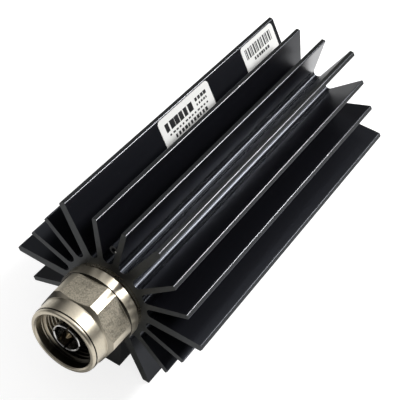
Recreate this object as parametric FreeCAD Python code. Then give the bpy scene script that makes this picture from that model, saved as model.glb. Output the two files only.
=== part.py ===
import FreeCAD
import Part
import math
import os

Vector = FreeCAD.Vector

# A dry coaxial dummy load with a type N plug. Millimetres, +Z up, the plug towards -Y.
# The origin is the middle of the foot's face, so the load stands on z = 0.
# Everything is drawn about the bore axis with y = 0 at the heat sink's front face, and is
# moved to the row's frame when it is written. Turned pieces are (radius, y) outlines.
# Angles round the axis run clockwise from straight up, seen from the plug's side.

# Heat sink: a hexagonal extrusion with radial fins and one solid foot.
sink_length = 100.0
across_flats = 48.8
core_radius = 12.1
bore_radius = 8.5
fins_per_side = 3
corner_fin_root = 2.5
corner_fin_tip = 1.9
side_fin_root = 1.75
side_fin_tip = 1.25
foot_fin_lean_deg = 1.6
foot_width = 9.4
tip_round = 0.3
least_root_round = 0.8
rear_bore_chamfer = 0.5

# Screw port: a small tube that grows out of the flank of the fin just left of the first one.
port_fin = -1
port_distance = 17.6
port_radius = 1.15
port_bore = 0.55
port_bite = 0.4

# Tapped holes in the foot.
mount_hole_radius = 1.65
mount_hole_depth = 7.0
mount_hole_spacing = 60.0
drill_point_deg = 118.0

# Fits.
thread_clearance = 0.03
running_clearance = 0.08
push_clearance = 0.02

# How far a cutting shape reaches past what it cuts.
overshoot = 1.0

# Plug body.
flange_radius = 10.4
flange_thickness = 1.0
knurl_teeth = 90
knurl_depth = 0.2
shank_radius = 7.0
shank_bevel = 0.3
shoulder_height = 7.2
spigot_length = 9.0
spigot_bevel = 0.5
line_bore = 3.5

# Coupling nut.
nut_standoff = 0.5
nut_length = 16.5
nut_edge_bevel = 0.35
rear_collar_length = 3.5
nut_across_flats = 20.0
nut_corner_radius = 10.9
nut_turn_deg = 27.0
hex_length = 7.2
hex_chamfer_deg = 30.0
front_collar_radius = 9.6
lip_radius = 9.5
lip_length = 1.7
lip_round = 0.7
lip_round_steps = 3
line_groove_width = 0.3
line_groove_depth = 0.25
bearing_length = 5.1
thread_relief_length = 1.8
thread_relief_depth = 0.25
thread_major_radius = 7.94
thread_length = 7.2
mouth_radius = 8.1
mouth_bevel = 0.25

# Split ring that keeps the nut on the body.
snap_ring_height = 3.6
snap_ring_thickness = 0.8
snap_ring_inner = 6.25
snap_ring_outer = 7.55
snap_ring_gap = 2.2
snap_groove_slack = 0.12

# Gasket at the bottom of the nut.
gasket_thickness = 1.2
gasket_width = 1.9
gasket_bevel = 0.3

# Slotted outer contact.
contact_radius = 4.0
contact_height = 16.45
contact_base_radius = 4.9
contact_base_thickness = 1.5
contact_slot_width = 0.5
contact_slot_depth = 6.5
contact_slot_turn_deg = 6.0
contact_tip_bevel = 0.15

# Centre pin.
pin_height = 16.1
pin_tip_radius = 0.8
pin_nose_radius = 0.3
pin_nose_length = 0.9
pin_thin_length = 5.6
pin_radius = 1.52
pin_neck_radius = 1.2
pin_shoulder_bevel = 0.3
pin_tail_length = 3.2

# Beads that hold the pin.
bead_radius = 4.3
front_bead_thickness = 2.2
rear_bead_thickness = 2.0

# Seal in the corner between the body's flange and the heat sink, as half its thickness.
body_seal_section = 0.4
seal_sides = 8

# Resistor: a ceramic tube between two metal caps.
resistor_radius = 2.4
resistor_hole_radius = 1.1
cap_wall = 0.3
cap_cup_depth = 3.0
cap_bevel = 0.3
front_cap_gap = 1.2
front_cap_solid_length = 4.0
front_cap_nose_length = 1.2
rear_cap_solid_length = 6.0

# Housing: the outer conductor, with an exponential horn bore round the resistor.
line_impedance = 50.0
air_line_constant = 60.0
horn_cones = 4
horn_end_clearance = 0.25
housing_gap = 0.2

# Collet that earths the resistor's rear cap.
collet_radius = 4.2
collet_length = 7.5
collet_flange_radius = 5.6
collet_flange_thickness = 1.5
collet_slot_width = 0.6
collet_slot_depth = 5.0

# Disc spring and end plug.
spring_height = 1.5
spring_thickness = 0.5
spring_inner = 5.9
spring_outer = 8.1
plug_length = 8.5
plug_recess = 0.6
plug_bevel = 0.4
plug_groove_depth = 0.9
plug_groove_width = 1.3
plug_groove_inset = 2.0
spanner_hole_radius = 1.0
spanner_hole_depth = 3.5
spanner_hole_circle = 5.0

# Labels on the right flank of the corner fin left of the top.
label_fin = -3
label_thickness = 0.12
label_round = 1.2
label_tip_margin = 0.9
name_label_start = 38.3
name_label_length = 24.2
name_label_root_margin = 2.6
serial_label_start = 80.4
serial_label_length = 17.9
serial_label_root_margin = 4.2

# Values worked out from the sizes above.
apothem = across_flats / 2
first_corner_deg = 30.0
side_deg = 60.0
foot_side = 2
corner_distance = apothem / math.cos(math.radians(side_deg / 2))
fitted_radius = bore_radius - thread_clearance
nut_rear = -(flange_thickness + nut_standoff)
nut_front = nut_rear - nut_length
hex_rear = nut_rear - rear_collar_length
hex_front = hex_rear - hex_length
chamfer_rise = (nut_corner_radius - front_collar_radius) * math.tan(math.radians(hex_chamfer_deg))
nut_bearing_radius = shank_radius + running_clearance
snap_front = -(snap_ring_height + snap_ring_thickness)
snap_rear = -snap_ring_height
seal_chamfer = body_seal_section * (2 + math.sqrt(2)) + thread_clearance
contact_base_rear = contact_base_thickness - shoulder_height
front_bead_rear = contact_base_rear + front_bead_thickness
rear_bead_front = spigot_length - rear_bead_thickness
cap_radius = resistor_radius + cap_wall
front_cap_start = spigot_length + front_cap_gap
resistor_start = front_cap_start + front_cap_solid_length
plug_rear = sink_length - plug_recess
plug_front = plug_rear - plug_length
housing_front = spigot_length + housing_gap
housing_rear = plug_front - spring_height
collet_front = housing_rear - collet_length
rear_cap_end = housing_rear - collet_flange_thickness
resistor_end = rear_cap_end - rear_cap_solid_length


def polar(radius, angle_deg, y=0.0):
    """Point at a distance from the bore axis, at an angle clockwise from straight up."""
    angle = math.radians(angle_deg)
    return Vector(radius * math.sin(angle), y, radius * math.cos(angle))


def turned(outline):
    """Solid of revolution of a closed (radius, y) outline."""
    points = [Vector(radius, y, 0) for radius, y in outline]
    face = Part.Face(Part.makePolygon(points + points[:1]))
    return face.revolve(Vector(0, 0, 0), Vector(0, 1, 0), 360)


def ring(inner, outer, start, end):
    """Plain ring between two radii, from y = start to y = end."""
    return turned([(inner, start), (outer, start), (outer, end), (inner, end)])


def rod(radius, start, end):
    """Plain cylinder on the bore axis."""
    return Part.makeCylinder(radius, end - start, Vector(0, start, 0), Vector(0, 1, 0))


def prism(points, length):
    """Straight solid along +Y on a closed polygon."""
    face = Part.Face(Part.makePolygon(points + points[:1]))
    return face.extrude(Vector(0, length, 0))


def seal_ring(middle, y, section):
    """Rubber ring with a flat on each wall that it is pressed against, and between them."""
    corner = section / math.cos(math.pi / seal_sides)
    outline = []
    for index in range(seal_sides):
        angle = 2 * math.pi * (index + 0.5) / seal_sides
        outline.append((middle + corner * math.cos(angle), y + corner * math.sin(angle)))
    return turned(outline)


def four_slots(width, reach, start, end, turn_deg):
    """Two crossed plates through the axis, to cut four slots at right angles."""
    plates = []
    for quarter in range(2):
        plate = Part.makeBox(2 * reach, end - start, width, Vector(-reach, start, -width / 2))
        plate.rotate(Vector(0, 0, 0), Vector(0, 1, 0), turn_deg + 90 * quarter)
        plates.append(plate)
    return plates[0].fuse(plates[1])


def write(name, shape):
    """Move a shape from the bore axis to the row's frame and write it."""
    placed = shape.copy()
    placed.translate(Vector(0, -sink_length / 2, apothem))
    placed.exportStep("parts/" + name + ".step")


# Section of the extrusion

def rib(angle_deg, root, tip):
    """The left and right flank of a fin, from its thickness at the core and at its tip.

    A flank is a point on it at the core, its direction outwards and the normal that leaves
    the fin.
    """
    outward = polar(1, angle_deg)
    sideways = polar(1, angle_deg + 90)
    flanks = []
    for side in (-1, 1):
        low = outward * core_radius + sideways * (side * root / 2)
        high = outward * corner_distance + sideways * (side * tip / 2)
        along = (high - low).normalize()
        normal = Vector(along.z, 0, -along.x) * side
        flanks.append((low, along, normal))
    return flanks


def fin(number):
    """Fin counted clockwise from the corner right of the top; the foot's neighbours lean to it."""
    angle = first_corner_deg + number * side_deg / fins_per_side
    if number % fins_per_side:
        return rib(angle, side_fin_root, side_fin_tip)
    if number == foot_side * fins_per_side:
        angle += foot_fin_lean_deg
    if number == (foot_side + 1) * fins_per_side:
        angle -= foot_fin_lean_deg
    return rib(angle, corner_fin_root, corner_fin_tip)


def section_ribs():
    """All fins in clockwise order, with the foot in place of the resting side's own fins."""
    ribs = []
    for number in range(6 * fins_per_side):
        side, place = divmod(number, fins_per_side)
        if place == 0 or side != foot_side:
            ribs.append(fin(number))
        if place == 0 and side == foot_side:
            ribs.append(rib(first_corner_deg + (side + 0.5) * side_deg, foot_width, foot_width))
    return ribs


def side_distance(flank, side):
    """Distance along a flank to the line of one side of the hexagon, if it runs towards it."""
    point, along, _ = flank
    normal = polar(1, first_corner_deg + (side + 0.5) * side_deg)
    slope = along.dot(normal)
    return (apothem - point.dot(normal)) / slope if slope > 0 else math.inf


def side_hit(flank, side):
    """Where a flank's line crosses the line of one side of the hexagon."""
    return flank[0] + flank[1] * side_distance(flank, side)


def fin_tip(left, right):
    """Corners of a fin's tip on the hexagon, clockwise.

    A flank that ends too near a corner of the hexagon for two rounds runs on to the side that
    the other flank ends on.
    """
    left_side = min(range(6), key=lambda side: side_distance(left, side))
    right_side = min(range(6), key=lambda side: side_distance(right, side))
    left_end = side_hit(left, left_side)
    right_end = side_hit(right, right_side)
    if left_side == right_side:
        return [left_end, right_end]
    corner = polar(corner_distance, first_corner_deg + right_side * side_deg)
    two_rounds = 2 * tip_round
    if left_end.distanceToPoint(corner) < two_rounds:
        return [side_hit(left, right_side), right_end]
    if right_end.distanceToPoint(corner) < two_rounds:
        return [left_end, side_hit(right, left_side)]
    return [left_end, corner, right_end]


def slot_root(flank_a, flank_b):
    """Full round between two flanks whose lowest point lies on the core radius.

    Its centre stays one radius off both flanks, so it moves along a line as the radius grows.
    The radius is the one at which the centre lies one radius outside the core. Flanks that
    meet outside the core get the least radius, higher up in their slot.
    """
    point_a, _, normal_a = flank_a
    point_b, _, normal_b = flank_b
    spread = normal_a.x * normal_b.z - normal_a.z * normal_b.x

    def crossing(reach_a, reach_b):
        return Vector((reach_a * normal_b.z - reach_b * normal_a.z) / spread, 0,
                      (normal_a.x * reach_b - normal_b.x * reach_a) / spread)

    start = crossing(point_a.dot(normal_a), point_b.dot(normal_b))
    step = crossing(1, 1)
    square = step.dot(step) - 1
    linear = start.dot(step) - core_radius
    constant = start.dot(start) - core_radius ** 2
    root = math.sqrt(linear ** 2 - square * constant)
    radius = max((root - linear) / square, least_root_round)
    centre = start + step * radius
    lowest = centre - Vector(centre).normalize() * radius
    return [centre - normal_a * radius, lowest, centre - normal_b * radius]


def corner_arc(before, corner, after, radius):
    """Start, middle and end of the round at one corner of an outline."""
    back = (before - corner).normalize()
    ahead = (after - corner).normalize()
    half = math.acos(back.dot(ahead)) / 2
    reach = radius / math.tan(half)
    middle = corner + (back + ahead).normalize() * (radius / math.sin(half) - radius)
    return [corner + back * reach, middle, corner + ahead * reach]


def joined(arcs):
    """Face inside a closed outline of arcs with straight lines between them."""
    edges = []
    for index, (start, middle, end) in enumerate(arcs):
        following = arcs[(index + 1) % len(arcs)]
        edges.append(Part.Arc(start, middle, end).toShape())
        edges.append(Part.LineSegment(end, following[0]).toShape())
    return Part.Face(Part.Wire(edges))


def sink_section():
    """The extrusion's section: rounded tips and full rounds at the slot roots."""
    ribs = section_ribs()
    arcs = []
    for index, (left, right) in enumerate(ribs):
        chain = [left[0]] + fin_tip(left, right) + [right[0]]
        for before, corner, after in zip(chain, chain[1:], chain[2:]):
            arcs.append(corner_arc(before, corner, after, tip_round))
        following = ribs[(index + 1) % len(ribs)]
        arcs.append(slot_root(right, following[0]))
    return joined(arcs)


def heat_sink():
    """Extrusion with its screw port, the bore for the load and the tapped holes of the foot."""
    body = sink_section().extrude(Vector(0, sink_length, 0))
    low, along, normal = fin(port_fin)[0]
    port_centre = low + along * (port_distance - core_radius) + normal * (port_radius - port_bite)
    port = Part.makeCylinder(port_radius, sink_length, port_centre, Vector(0, 1, 0))
    port_hole = Part.makeCylinder(port_bore, sink_length, port_centre, Vector(0, 1, 0))
    bore = turned([
        (0, 0),
        (bore_radius + seal_chamfer, 0),
        (bore_radius, seal_chamfer),
        (bore_radius, sink_length - rear_bore_chamfer),
        (bore_radius + rear_bore_chamfer, sink_length),
        (0, sink_length),
    ])
    body = body.fuse(port).cut(port_hole).cut(bore)
    point_depth = mount_hole_radius / math.tan(math.radians(drill_point_deg / 2))
    for side in (-1, 1):
        mouth = Vector(0, sink_length / 2 + side * mount_hole_spacing / 2, -apothem)
        hole = Part.makeCylinder(mount_hole_radius, mount_hole_depth, mouth)
        point = Part.makeCone(mount_hole_radius, 0, point_depth, mouth + Vector(0, 0, mount_hole_depth))
        body = body.cut(hole.fuse(point))
    return body.removeSplitter()


# Coupling nut and what holds it

def coupling_nut():
    """Hexagon nut with two collars, turned corners and a cone in front of its flats."""
    lip_rear = nut_front + lip_length
    cavity_rear = nut_rear - bearing_length
    thread_rear = cavity_rear - thread_relief_length
    thread_front = thread_rear - thread_length
    relief_radius = thread_major_radius + thread_relief_depth
    groove_radius = snap_ring_outer + snap_groove_slack
    lip = []
    for step in range(lip_round_steps + 1):
        turn = math.pi / 2 * step / lip_round_steps
        radius = lip_radius - lip_round * (1 - math.cos(turn))
        lip.append((radius, nut_front + lip_round * (1 - math.sin(turn))))
    blank = turned([
        (nut_bearing_radius, nut_rear),
        (nut_corner_radius - nut_edge_bevel, nut_rear),
        (nut_corner_radius, nut_rear - nut_edge_bevel),
        (nut_corner_radius, hex_rear + line_groove_width),
        (nut_corner_radius - line_groove_depth, hex_rear + line_groove_width),
        (nut_corner_radius - line_groove_depth, hex_rear),
        (nut_corner_radius, hex_rear),
        (nut_corner_radius, hex_front),
        (front_collar_radius, hex_front - chamfer_rise),
        (front_collar_radius, lip_rear + line_groove_width),
        (front_collar_radius - line_groove_depth, lip_rear + line_groove_width),
        (front_collar_radius - line_groove_depth, lip_rear),
        (lip_radius, lip_rear),
    ] + lip + [
        (mouth_radius + mouth_bevel, nut_front),
        (mouth_radius, nut_front + mouth_bevel),
        (mouth_radius, thread_front),
        (thread_major_radius, thread_front),
        (thread_major_radius, thread_rear),
        (relief_radius, thread_rear),
        (relief_radius, cavity_rear),
        (nut_bearing_radius, cavity_rear),
        (nut_bearing_radius, snap_front - snap_groove_slack),
        (groove_radius, snap_front - snap_groove_slack),
        (groove_radius, snap_rear + snap_groove_slack),
        (nut_bearing_radius, snap_rear + snap_groove_slack),
    ])
    hexagon_radius = nut_across_flats / 2 / math.cos(math.radians(side_deg / 2))
    start = hex_front - chamfer_rise
    corners = [polar(hexagon_radius, nut_turn_deg + side_deg * corner, start) for corner in range(6)]
    flats = rod(nut_corner_radius + overshoot, start, hex_rear).cut(prism(corners, hex_rear - start))
    return blank.cut(flats)


def nut_snap_ring():
    """Split ring half in the body's groove and half in the nut's."""
    whole = ring(snap_ring_inner, snap_ring_outer, snap_front, snap_rear)
    corner = Vector(-snap_ring_gap / 2, snap_front, -2 * snap_ring_outer)
    return whole.cut(Part.makeBox(snap_ring_gap, snap_ring_thickness, 2 * snap_ring_outer, corner))


def nut_gasket():
    """Flat rubber ring on the body's front face, round the outer contact."""
    outer = shank_radius - shank_bevel
    inner = outer - gasket_width
    front = -(shoulder_height + gasket_thickness)
    return turned([
        (inner, -shoulder_height),
        (inner, front + gasket_bevel),
        (inner + gasket_bevel, front),
        (outer - gasket_bevel, front),
        (outer, front + gasket_bevel),
        (outer, -shoulder_height),
    ])


# Plug body and contacts

def connector_body():
    """Body with a knurled flange, a shank for the nut and a threaded spigot for the bore."""
    flange_front = -flange_thickness
    groove_radius = snap_ring_inner - snap_groove_slack
    core = turned([
        (contact_base_radius + push_clearance, -shoulder_height),
        (contact_base_radius + push_clearance, contact_base_rear),
        (bead_radius + push_clearance, contact_base_rear),
        (bead_radius + push_clearance, front_bead_rear),
        (line_bore, front_bead_rear),
        (line_bore, rear_bead_front),
        (bead_radius + push_clearance, rear_bead_front),
        (bead_radius + push_clearance, spigot_length),
        (fitted_radius - spigot_bevel, spigot_length),
        (fitted_radius, spigot_length - spigot_bevel),
        (fitted_radius, flange_front),
        (shank_radius, flange_front),
        (shank_radius, snap_rear + snap_groove_slack),
        (groove_radius, snap_rear + snap_groove_slack),
        (groove_radius, snap_front - snap_groove_slack),
        (shank_radius, snap_front - snap_groove_slack),
        (shank_radius, shank_bevel - shoulder_height),
        (shank_radius - shank_bevel, -shoulder_height),
    ])
    teeth = []
    for index in range(2 * knurl_teeth):
        radius = flange_radius - knurl_depth * (index % 2)
        teeth.append(polar(radius, 180 * index / knurl_teeth, flange_front))
    flange = prism(teeth, flange_thickness).cut(rod(shank_radius, flange_front, 0))
    return core.fuse(flange).removeSplitter()


def outer_contact():
    """Ring contact on a thick base, slotted from the tip into four springs."""
    tip = -contact_height
    tube = turned([
        (line_bore, contact_base_rear),
        (contact_base_radius, contact_base_rear),
        (contact_base_radius, -shoulder_height),
        (contact_radius, -shoulder_height),
        (contact_radius, tip + contact_tip_bevel),
        (contact_radius - contact_tip_bevel, tip),
        (line_bore + contact_tip_bevel, tip),
        (line_bore, tip + contact_tip_bevel),
    ])
    start = tip - overshoot
    end = tip + contact_slot_depth
    reach = contact_radius + overshoot
    return tube.cut(four_slots(contact_slot_width, reach, start, end, contact_slot_turn_deg))


def centre_pin():
    """Pin with a thin nose, a thick part with a neck in each bead and a tail for the cap."""
    tip = -pin_height
    step = tip + pin_thin_length
    tail_end = front_cap_start + pin_tail_length
    return turned([
        (0, tip),
        (pin_nose_radius, tip),
        (pin_tip_radius, tip + pin_nose_length),
        (pin_tip_radius, step),
        (pin_radius - pin_shoulder_bevel, step),
        (pin_radius, step + pin_shoulder_bevel),
        (pin_radius, contact_base_rear),
        (pin_neck_radius, contact_base_rear),
        (pin_neck_radius, front_bead_rear),
        (pin_radius, front_bead_rear),
        (pin_radius, rear_bead_front),
        (pin_neck_radius, rear_bead_front),
        (pin_neck_radius, spigot_length),
        (pin_radius, spigot_length),
        (pin_radius, front_cap_start),
        (pin_tip_radius, front_cap_start),
        (pin_tip_radius, tail_end),
        (0, tail_end),
    ])


def front_bead():
    """Insulating disc between the contact's base and the body's step."""
    return ring(pin_neck_radius + push_clearance, bead_radius, contact_base_rear, front_bead_rear)


def rear_bead():
    """Insulating disc in the end of the spigot."""
    return ring(pin_neck_radius + push_clearance, bead_radius, rear_bead_front, spigot_length)


def body_seal():
    """O-ring pressed between the spigot, the flange and the bore's chamfer."""
    seat = body_seal_section + push_clearance / 2
    return seal_ring(fitted_radius + seat, seat, body_seal_section)


# Resistor and its housing

def resistor_front_cap():
    """Cap with a cone towards the pin, a socket for its tail and a cup for the ceramic."""
    cup_end = resistor_start + cap_cup_depth
    cup_radius = resistor_radius + push_clearance
    socket_radius = pin_tip_radius + push_clearance
    socket_end = front_cap_start + pin_tail_length + push_clearance
    return turned([
        (socket_radius, front_cap_start),
        (pin_radius, front_cap_start),
        (cap_radius, front_cap_start + front_cap_nose_length),
        (cap_radius, cup_end),
        (cup_radius, cup_end),
        (cup_radius, resistor_start),
        (0, resistor_start),
        (0, socket_end),
        (socket_radius, socket_end),
    ])


def resistor_rear_cap():
    """Solid cap that the collet grips, with a cup for the ceramic."""
    cup_start = resistor_end - cap_cup_depth
    cup_radius = resistor_radius + push_clearance
    return turned([
        (0, resistor_end),
        (cup_radius, resistor_end),
        (cup_radius, cup_start),
        (cap_radius, cup_start),
        (cap_radius, rear_cap_end - cap_bevel),
        (cap_radius - cap_bevel, rear_cap_end),
        (0, rear_cap_end),
    ])


def resistor_rod():
    """Ceramic tube that carries the resistive film."""
    return ring(resistor_hole_radius, resistor_radius, resistor_start, resistor_end)


def load_housing():
    """Sleeve whose bore falls exponentially, in short cones, towards the earthed end.

    At the front the bore is the radius that gives the line impedance round the ceramic.
    """
    wide = resistor_radius * math.exp(line_impedance / air_line_constant)
    narrow = cap_radius + horn_end_clearance
    horn_start = resistor_start + cap_cup_depth
    horn_end = resistor_end - cap_cup_depth
    horn = []
    for index in range(horn_cones + 1):
        share = index / horn_cones
        horn.append((wide * (narrow / wide) ** share, horn_start + share * (horn_end - horn_start)))
    collet_bore = collet_radius + push_clearance
    flange_bore = collet_flange_radius + push_clearance
    flange_front = housing_rear - collet_flange_thickness
    return turned(horn + [
        (narrow, collet_front),
        (collet_bore, collet_front),
        (collet_bore, flange_front),
        (flange_bore, flange_front),
        (flange_bore, housing_rear),
        (fitted_radius, housing_rear),
        (fitted_radius, housing_front),
        (wide, housing_front),
    ])


def ground_contact():
    """Flanged collet, slotted from its front end, round the resistor's rear cap."""
    inner = cap_radius + push_clearance
    sleeve = turned([
        (inner, collet_front),
        (collet_radius, collet_front),
        (collet_radius, housing_rear - collet_flange_thickness),
        (collet_flange_radius, housing_rear - collet_flange_thickness),
        (collet_flange_radius, housing_rear),
        (inner, housing_rear),
    ])
    start = collet_front - overshoot
    end = collet_front + collet_slot_depth
    return sleeve.cut(four_slots(collet_slot_width, collet_radius + overshoot, start, end, 0))


def disc_spring():
    """Conical washer: its inner edge pushes the housing, its outer edge leans on the plug."""
    return turned([
        (spring_inner, housing_rear),
        (spring_outer, plug_front - spring_thickness),
        (spring_outer, plug_front),
        (spring_inner, housing_rear + spring_thickness),
    ])


def end_plug():
    """Threaded plug with a groove for its seal and two blind holes for a pin spanner."""
    groove_front = plug_front + plug_groove_inset
    groove_rear = groove_front + plug_groove_width
    groove_radius = fitted_radius - plug_groove_depth
    plug = turned([
        (0, plug_front),
        (fitted_radius - plug_bevel, plug_front),
        (fitted_radius, plug_front + plug_bevel),
        (fitted_radius, groove_front),
        (groove_radius, groove_front),
        (groove_radius, groove_rear),
        (fitted_radius, groove_rear),
        (fitted_radius, plug_rear - plug_bevel),
        (fitted_radius - plug_bevel, plug_rear),
        (0, plug_rear),
    ])
    for side in (-1, 1):
        base = Vector(side * spanner_hole_circle, plug_rear - spanner_hole_depth, 0)
        plug = plug.cut(Part.makeCylinder(spanner_hole_radius, spanner_hole_depth, base, Vector(0, 1, 0)))
    return plug


def end_plug_seal():
    """O-ring pressed between the plug's groove and the bore."""
    groove_radius = fitted_radius - plug_groove_depth
    section = (bore_radius - groove_radius) / 2 - push_clearance
    height = plug_front + plug_groove_inset + plug_groove_width / 2
    return seal_ring((bore_radius + groove_radius) / 2, height, section)


# Labels

def label(start, length, root_margin):
    """Thin plate with rounded corners on a fin's flank, from near its tip to near its root."""
    low, along, normal = fin(label_fin)[1]
    top = low + along * (corner_distance - label_tip_margin - core_radius)
    bottom = low + along * root_margin
    near = Vector(0, start, 0)
    far = Vector(0, start + length, 0)
    corners = [top + near, top + far, bottom + far, bottom + near]
    arcs = []
    for index, corner in enumerate(corners):
        arcs.append(corner_arc(corners[index - 1], corner, corners[(index + 1) % 4], label_round))
    return joined(arcs).extrude(normal * label_thickness)


os.makedirs("parts", exist_ok=True)
write("heat_sink", heat_sink())
write("coupling_nut", coupling_nut())
write("nut_snap_ring", nut_snap_ring())
write("nut_gasket", nut_gasket())
write("connector_body", connector_body())
write("outer_contact", outer_contact())
write("centre_pin", centre_pin())
write("front_bead", front_bead())
write("rear_bead", rear_bead())
write("body_seal", body_seal())
write("resistor_front_cap", resistor_front_cap())
write("resistor_rod", resistor_rod())
write("resistor_rear_cap", resistor_rear_cap())
write("load_housing", load_housing())
write("ground_contact", ground_contact())
write("disc_spring", disc_spring())
write("end_plug", end_plug())
write("end_plug_seal", end_plug_seal())
write("name_label", label(name_label_start, name_label_length, name_label_root_margin))
write("serial_label", label(serial_label_start, serial_label_length, serial_label_root_margin))
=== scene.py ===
"""Looks of a dry coaxial dummy load: a black finned heat sink with a nickel-plated plug.

Angles round the plug's axis run clockwise from straight up, seen from the plug's side.
"""

import math

import bpy
import numpy as np
from mathutils import Matrix, Vector


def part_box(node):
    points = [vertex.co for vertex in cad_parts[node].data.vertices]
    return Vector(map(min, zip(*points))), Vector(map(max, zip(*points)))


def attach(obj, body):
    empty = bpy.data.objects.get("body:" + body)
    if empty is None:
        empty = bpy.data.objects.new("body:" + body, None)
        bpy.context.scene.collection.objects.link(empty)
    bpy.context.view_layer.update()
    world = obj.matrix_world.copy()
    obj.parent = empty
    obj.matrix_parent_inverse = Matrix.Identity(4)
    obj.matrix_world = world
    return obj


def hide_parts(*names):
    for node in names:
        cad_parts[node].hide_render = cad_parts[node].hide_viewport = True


bl_info = {
    "name": "Finned dummy load",
    "version": (1, 0, 0),
    "blender": (4, 5, 0),
    "location": "View3D > Sidebar > Dummy load",
    "description": "Finishes, thread, label print and studio of a finned coaxial dummy load",
    "category": "Object",
}

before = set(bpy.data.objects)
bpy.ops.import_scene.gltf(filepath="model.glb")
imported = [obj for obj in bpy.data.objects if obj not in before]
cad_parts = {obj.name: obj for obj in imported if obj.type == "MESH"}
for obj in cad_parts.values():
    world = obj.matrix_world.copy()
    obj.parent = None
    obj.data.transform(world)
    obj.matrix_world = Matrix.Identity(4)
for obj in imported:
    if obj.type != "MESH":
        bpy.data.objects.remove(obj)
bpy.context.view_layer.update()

# Places read from the parts in model.glb, in metres.
NUT_LOW, NUT_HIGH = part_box("coupling_nut")
SINK_LOW, SINK_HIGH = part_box("heat_sink")
AXIS_HEIGHT = (NUT_LOW.z + NUT_HIGH.z) / 2
NUT_FRONT = NUT_LOW.y
NUT_REAR = NUT_HIGH.y
NUT_CORNER_RADIUS = (NUT_HIGH.x - NUT_LOW.x) / 2
APOTHEM = SINK_HIGH.z / 2

# Lines along the heat sink, as points that they pass through: the plug's axis, the middle of the
# screw port, the spot beside it where a glint is painted as bright metal, and the place on the front face
# round which shade is painted.
AXIS = (0.0, 0.0, AXIS_HEIGHT)
PORT_CENTRE = (0.00154, 0.0, 0.04201)
PORT_GLINT = (0.00206, 0.0, 0.04173)
SHADED_PLACE = (0.0035, 0.0, 0.0374)

# Roots of the slots, and the nut's thread: rear end and length of its wall, length of its ridge.
MM = 0.001
ROOT_RADIUS = 13.5 * MM
THREAD_REAR = NUT_REAR - 6.9 * MM
THREAD_WALL = 7.2 * MM
THREAD_LENGTH = 7.0 * MM


# Sizes and colours that a user would change

class NutSizes(bpy.types.PropertyGroup):
    """Sizes of the coupling nut and of its thread."""
    across_flats: bpy.props.FloatProperty(
        name="Across flats", description="Distance between two opposite flats", default=0.020, unit="LENGTH")
    turn: bpy.props.FloatProperty(
        name="Turn", description="Angle of one corner, clockwise from straight up", default=math.radians(27),
        subtype="ANGLE")
    rear_collar: bpy.props.FloatProperty(
        name="Rear collar", description="Length of the round collar behind the flats", default=0.0035,
        unit="LENGTH")
    hexagon: bpy.props.FloatProperty(
        name="Hexagon", description="Length of the corners between the collars", default=0.0072,
        unit="LENGTH")
    chamfer: bpy.props.FloatProperty(
        name="Chamfer", description="Angle of the cone in front of the flats", default=math.radians(30),
        subtype="ANGLE")
    front_radius: bpy.props.FloatProperty(
        name="Front collar radius", description="Radius of the front collar", default=0.0096, unit="LENGTH")
    lip_radius: bpy.props.FloatProperty(
        name="Lip radius", description="Radius of the rounded lip", default=0.0095, unit="LENGTH")
    lip_length: bpy.props.FloatProperty(
        name="Lip length", description="Length of the lip in front of its groove", default=0.0009,
        unit="LENGTH")
    lip_round: bpy.props.FloatProperty(
        name="Lip round", description="Radius of the lip's outer edge", default=0.0006, unit="LENGTH")
    edge_bevel: bpy.props.FloatProperty(
        name="Edge bevel", description="Bevel of the turned edges", default=0.00005, unit="LENGTH")
    mouth_radius: bpy.props.FloatProperty(
        name="Mouth radius", description="Radius of the plain bore in front of the thread", default=0.0081,
        unit="LENGTH")
    thread_radius: bpy.props.FloatProperty(
        name="Thread radius", description="Radius of the wall that carries the thread", default=0.00794,
        unit="LENGTH")
    thread_pitch: bpy.props.FloatProperty(
        name="Thread pitch", description="Distance between two turns of the thread", default=0.0010583,
        unit="LENGTH")
    thread_depth: bpy.props.FloatProperty(
        name="Thread depth", description="Height of the thread's ridge", default=0.00058, unit="LENGTH")


class FinishColours(bpy.types.PropertyGroup):
    """Colours of the finishes."""
    anodised: bpy.props.FloatVectorProperty(
        name="Anodised", description="Black of the extruded surfaces", default=(0.0035, 0.0036, 0.0055),
        size=3, subtype="COLOR", min=0, max=1)
    cut_face: bpy.props.FloatVectorProperty(
        name="Cut face", description="Grey of the sawn and anodised ends", default=(0.063, 0.065, 0.061),
        size=3, subtype="COLOR", min=0, max=1)
    # Grey of the worn edges, which also carries the painted highlight line along the fins' tips.
    worn_edge_and_highlight: bpy.props.FloatVectorProperty(
        name="Worn edge", description="Edges of the fins, where the anodising is thin",
        default=(0.16, 0.16, 0.17), size=3, subtype="COLOR", min=0, max=1)
    bare_metal: bpy.props.FloatVectorProperty(
        name="Bare metal", description="Aluminium where an edge is rubbed through",
        default=(0.62, 0.62, 0.63), size=3, subtype="COLOR", min=0, max=1)
    nickel: bpy.props.FloatVectorProperty(
        name="Nickel", description="Satin nickel plating", default=(0.63, 0.57, 0.455),
        size=3, subtype="COLOR", min=0, max=1)
    silver: bpy.props.FloatVectorProperty(
        name="Silver", description="Bright plating of the contacts", default=(0.72, 0.71, 0.69),
        size=3, subtype="COLOR", min=0, max=1)
    film: bpy.props.FloatVectorProperty(
        name="Label film", description="White film of the labels", default=(0.80, 0.80, 0.78),
        size=3, subtype="COLOR", min=0, max=1)
    ink: bpy.props.FloatVectorProperty(
        name="Ink", description="Ink of the labels", default=(0.008, 0.008, 0.009),
        size=3, subtype="COLOR", min=0, max=1)


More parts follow.
